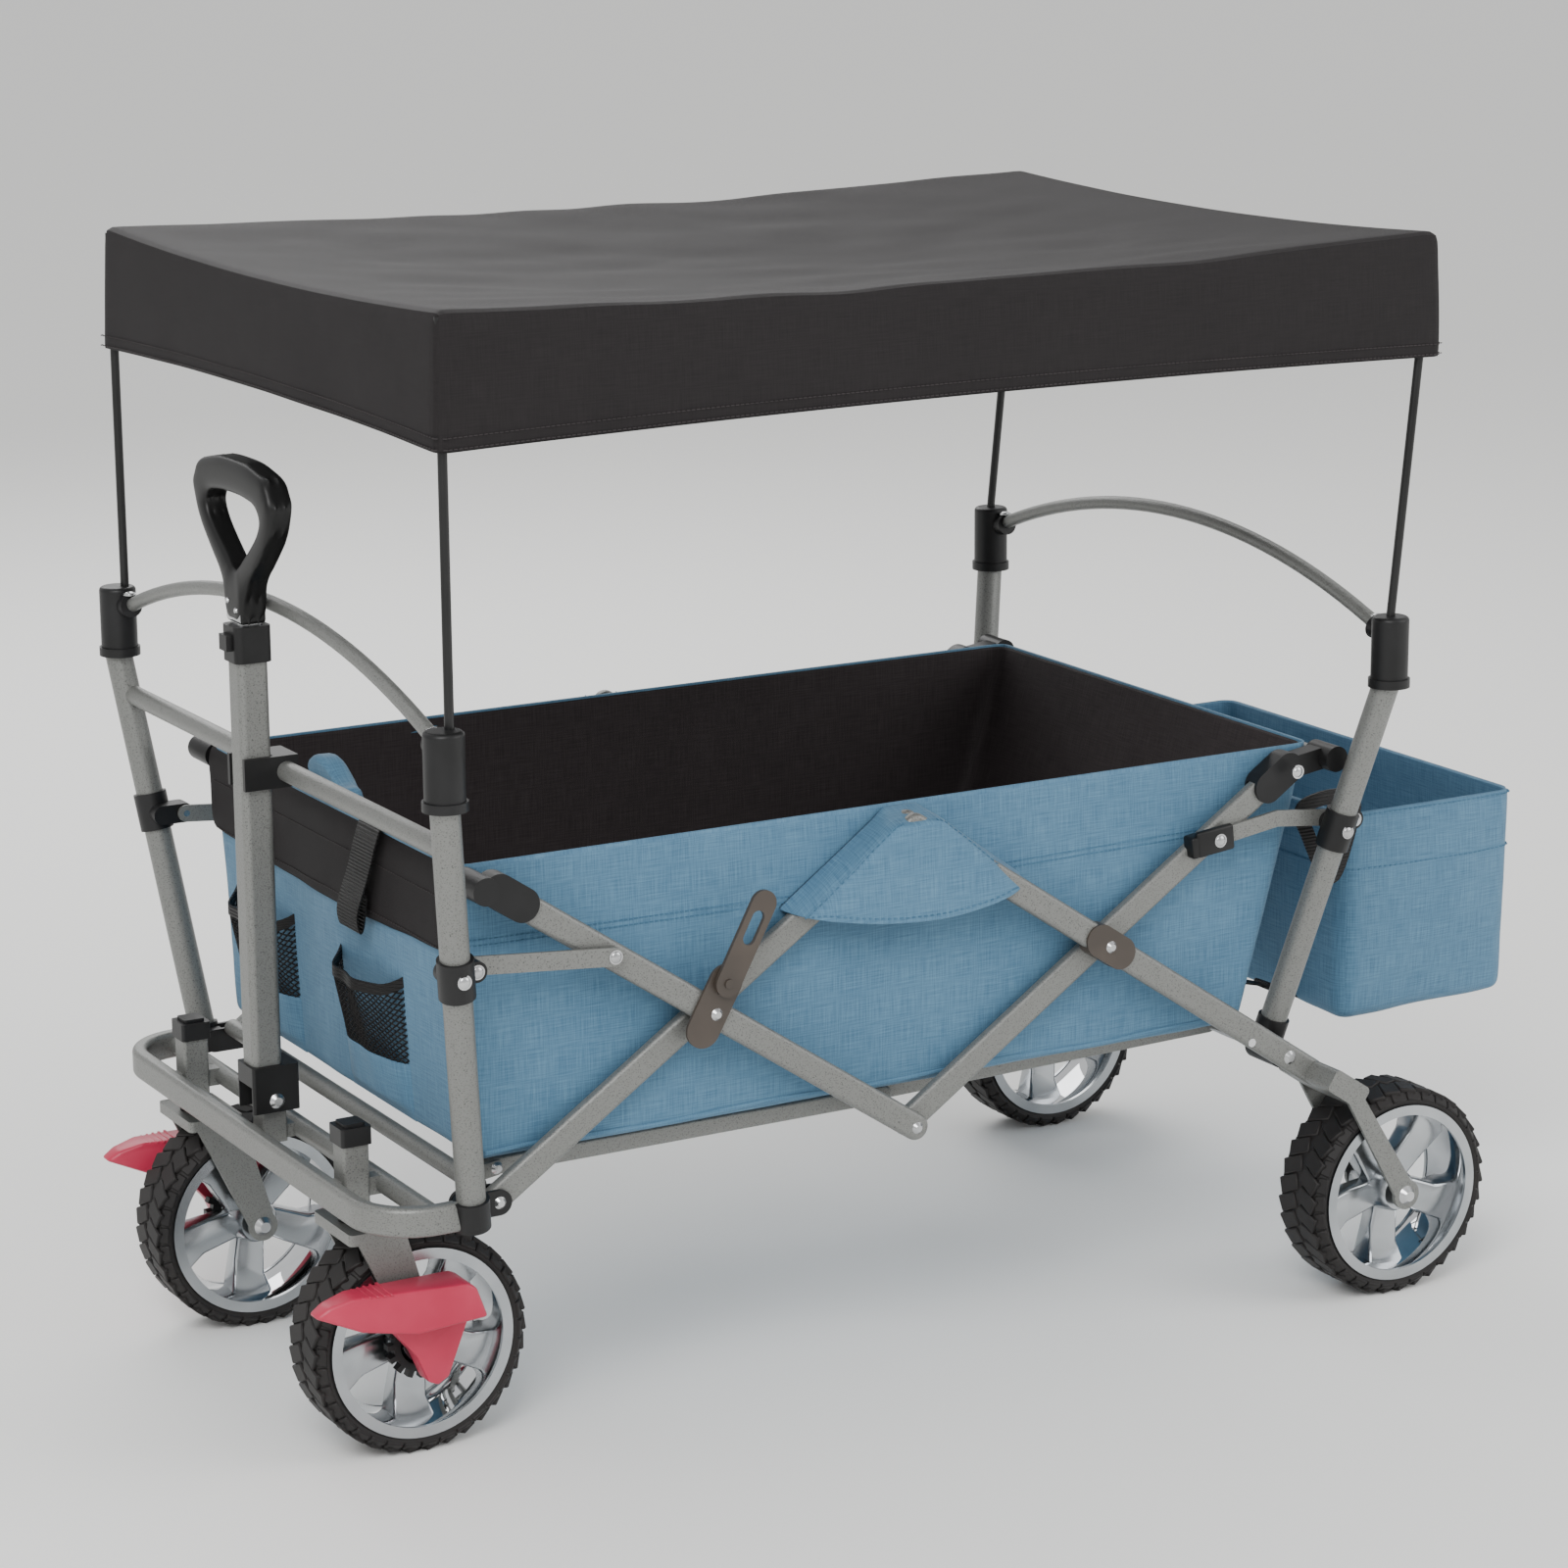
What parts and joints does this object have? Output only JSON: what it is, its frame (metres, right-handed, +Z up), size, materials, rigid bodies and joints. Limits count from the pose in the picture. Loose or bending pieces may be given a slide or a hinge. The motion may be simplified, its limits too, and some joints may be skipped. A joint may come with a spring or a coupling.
{
  "type": "folding pull wagon",
  "caption": "Folding pull wagon: scissor side frame, cloth tub, rear bag, canopy on thin poles, swivelling front casters with brakes, telescopic handle.",
  "frame": {"origin": "on the ground under the middle of the wagon's overall box", "axes": "+X towards the rear bag, -X towards the pull handle, +Y to the right side, +Z up"},
  "size_m": [1.27, 0.7428, 1.004],
  "materials": {
    "black_plastic": "moulded, fine grain",
    "blue_cloth": "woven polyester",
    "brake_red": "moulded, satin",
    "charcoal_cloth": "woven polyester",
    "frame_paint": "hammertone powder coat",
    "pole_fibre": "glass fibre rod",
    "taupe_plastic": "moulded, satin",
    "tyre_rubber": "matt moulded rubber",
    "wheel_chrome": "chrome-plated plastic",
    "zinc_steel": "zinc plated"
  },
  "bodies": {
    "front_frame": {"front_u_frame": "frame_paint", "front_posts": "frame_paint", "front_cross_tubes": "frame_paint", "front_arch": "frame_paint", "front_post_caps": "black_plastic", "front_post_fittings": "black_plastic", "caster_bushes": "black_plastic", "handle_clip": "black_plastic", "frame_bolts": "zinc_steel"},
    "caster_left": {"caster_fork_left": "frame_paint", "front_axle_left": "zinc_steel"},
    "caster_right": {"caster_fork_right": "frame_paint", "front_axle_right": "zinc_steel"},
    "front_wheel_left": {"front_tyre_left": "tyre_rubber", "front_rim_left": "wheel_chrome", "brake_drum_left": "black_plastic"},
    "front_wheel_right": {"front_tyre_right": "tyre_rubber", "front_rim_right": "wheel_chrome", "brake_drum_right": "black_plastic"},
    "pedal_left": {"brake_pedal_left": "brake_red"},
    "pedal_right": {"brake_pedal_right": "brake_red"},
    "handle": {"handle_outer_tube": "frame_paint", "handle_yoke": "black_plastic", "handle_lock_collar": "black_plastic"},
    "handle_slide": {"handle_inner_tube": "zinc_steel", "handle_grip": "black_plastic"},
    "front_inner": {"front_inner_bars": "frame_paint"},
    "front_outer": {"front_outer_bars": "frame_paint", "front_bar_rivets": "zinc_steel", "latch_bases": "taupe_plastic", "front_corner_connectors": "black_plastic", "front_rim_rod": "frame_paint"},
    "latch_left": {"latch_lever_left": "taupe_plastic"},
    "latch_right": {"latch_lever_right": "taupe_plastic"},
    "rear_inner": {"rear_inner_bars": "frame_paint", "rear_corner_connectors": "black_plastic", "rear_rim_rod": "frame_paint"},
    "rear_outer": {"rear_outer_bars": "frame_paint", "rear_bar_rivets": "zinc_steel", "crossing_clamps": "taupe_plastic", "rear_forks": "frame_paint", "rear_axles": "zinc_steel"},
    "rear_wheel_left": {"rear_tyre_left": "tyre_rubber", "rear_rim_left": "wheel_chrome"},
    "rear_wheel_right": {"rear_tyre_right": "tyre_rubber", "rear_rim_right": "wheel_chrome"},
    "rear_frame": {"rear_posts": "frame_paint", "rear_arch": "frame_paint", "rear_post_caps": "black_plastic", "rear_post_fittings": "black_plastic", "rear_link_pins": "zinc_steel", "rear_bag": "blue_cloth"},
    "front_link_pair": {"front_links": "frame_paint"},
    "rear_link_pair": {"rear_links": "frame_paint"},
    "floor_front": {"front_floor_rails": "frame_paint"},
    "floor_rear": {"rear_floor_rails": "frame_paint"},
    "tub_cloth": {"tub": "blue_cloth"},
    "canopy_top": {"canopy": "charcoal_cloth", "front_canopy_poles": "pole_fibre"},
    "rear_poles": {"rear_canopy_poles": "pole_fibre"}
  },
  "joints": [
    {"name": "fold", "type": "hinge", "parent": "front_frame", "child": "front_inner", "pos_m": [-0.4815, 0, 0.243], "axis": [0, -1, 0], "range_deg": [0, 40]},
    {"name": "front_crossing", "type": "hinge", "parent": "front_inner", "child": "front_outer", "pos_m": [-0.28004, 0, 0.37888], "axis": [0, -1, 0], "range_deg": [-82, 0]},
    {"name": "middle_low_pivot", "type": "hinge", "parent": "front_outer", "child": "rear_inner", "pos_m": [-0.07859, 0, 0.243], "axis": [0, -1, 0], "range_deg": [0, 82]},
    {"name": "rear_crossing", "type": "hinge", "parent": "rear_inner", "child": "rear_outer", "pos_m": [0.12287, 0, 0.37888], "axis": [0, -1, 0], "range_deg": [-82, 0]},
    {"name": "rear_post_foot", "type": "hinge", "parent": "rear_outer", "child": "rear_frame", "pos_m": [0.32432, 0, 0.243], "axis": [0, -1, 0], "range_deg": [0, 46]},
    {"name": "front_link_pivot", "type": "hinge", "parent": "front_frame", "child": "front_link_pair", "pos_m": [-0.51443, 0, 0.457], "axis": [0, -1, 0], "range_deg": [0, 71]},
    {"name": "rear_link_pivot", "type": "hinge", "parent": "rear_frame", "child": "rear_link_pair", "pos_m": [0.39208, 0, 0.461], "axis": [0, -1, 0], "range_deg": [-69, 0]},
    {"name": "floor_front_pivot", "type": "hinge", "parent": "front_frame", "child": "floor_front", "pos_m": [-0.463, 0, 0.258], "axis": [0, -1, 0], "range_deg": [0, 76]},
    {"name": "floor_middle_pivot", "type": "hinge", "parent": "floor_front", "child": "floor_rear", "pos_m": [-0.07859, 0, 0.258], "axis": [0, -1, 0], "range_deg": [-147, 0]},
    {"name": "tub_rise", "type": "slide", "parent": "front_frame", "child": "tub_cloth", "axis": [0, 0, 1], "range_m": [0, 0.21], "deforming": ["tub"]},
    {"name": "canopy_lift", "type": "slide", "parent": "front_frame", "child": "canopy_top", "axis": [0, 0, 1], "range_m": [0, 0.03], "deforming": ["canopy"]},
    {"name": "rear_pole_lift", "type": "slide", "parent": "rear_frame", "child": "rear_poles", "axis": [0.1018, 0, 0.9948], "range_m": [0, 0.031]},
    {"name": "handle_tilt", "type": "hinge", "parent": "front_frame", "child": "handle", "pos_m": [-0.5665, 0, 0.272], "axis": [0, -1, 0], "range_deg": [0, 75]},
    {"name": "handle_extend", "type": "slide", "parent": "handle", "child": "handle_slide", "axis": [0, 0, 1], "range_m": [0, 0.25]},
    {"name": "latch_left_turn", "type": "hinge", "parent": "front_outer", "child": "latch_left", "pos_m": [-0.27104, -0.302, 0.40588], "axis": [0, -1, 0], "range_deg": [0, 35]},
    {"name": "latch_right_turn", "type": "hinge", "parent": "front_outer", "child": "latch_right", "pos_m": [-0.27104, 0.302, 0.40588], "axis": [0, -1, 0], "range_deg": [0, 35]},
    {"name": "caster_left_swivel", "type": "hinge", "parent": "front_frame", "child": "caster_left", "pos_m": [-0.5675, -0.177, 0.25], "axis": [0, 0, 1], "continuous": true},
    {"name": "front_wheel_left_roll", "type": "hinge", "parent": "caster_left", "child": "front_wheel_left", "pos_m": [-0.5195, -0.177, 0.1], "axis": [0, 1, 0], "continuous": true},
    {"name": "brake_left", "type": "hinge", "parent": "caster_left", "child": "pedal_left", "pos_m": [-0.5195, -0.222, 0.1], "axis": [0, -1, 0], "range_deg": [0, 12]},
    {"name": "rear_wheel_left_roll", "type": "hinge", "parent": "rear_outer", "child": "rear_wheel_left", "pos_m": [0.4365, -0.293, 0.1], "axis": [0, 1, 0], "continuous": true},
    {"name": "caster_right_swivel", "type": "hinge", "parent": "front_frame", "child": "caster_right", "pos_m": [-0.5675, 0.177, 0.25], "axis": [0, 0, 1], "continuous": true},
    {"name": "front_wheel_right_roll", "type": "hinge", "parent": "caster_right", "child": "front_wheel_right", "pos_m": [-0.5195, 0.177, 0.1], "axis": [0, 1, 0], "continuous": true},
    {"name": "brake_right", "type": "hinge", "parent": "caster_right", "child": "pedal_right", "pos_m": [-0.5195, 0.222, 0.1], "axis": [0, -1, 0], "range_deg": [0, 12]},
    {"name": "rear_wheel_right_roll", "type": "hinge", "parent": "rear_outer", "child": "rear_wheel_right", "pos_m": [0.4365, 0.293, 0.1], "axis": [0, 1, 0], "continuous": true}
  ],
  "couplings": [
    {"joint": "front_crossing", "follows": "fold", "ratio": -2},
    {"joint": "middle_low_pivot", "follows": "fold", "ratio": 2},
    {"joint": "rear_crossing", "follows": "fold", "ratio": -2},
    {"joint": "rear_post_foot", "follows": "fold", "ratio": 1.1},
    {"joint": "front_link_pivot", "follows": "fold", "ratio": 1.7053},
    {"joint": "rear_link_pivot", "follows": "fold", "ratio": -1.6657},
    {"joint": "floor_front_pivot", "follows": "fold", "ratio": 1.8326},
    {"joint": "floor_middle_pivot", "follows": "fold", "ratio": -3.6222},
    {"joint": "tub_rise", "follows": "fold", "m_per_rad": 0.2799},
    {"joint": "rear_pole_lift", "follows": "canopy_lift", "ratio": 1}
  ]
}
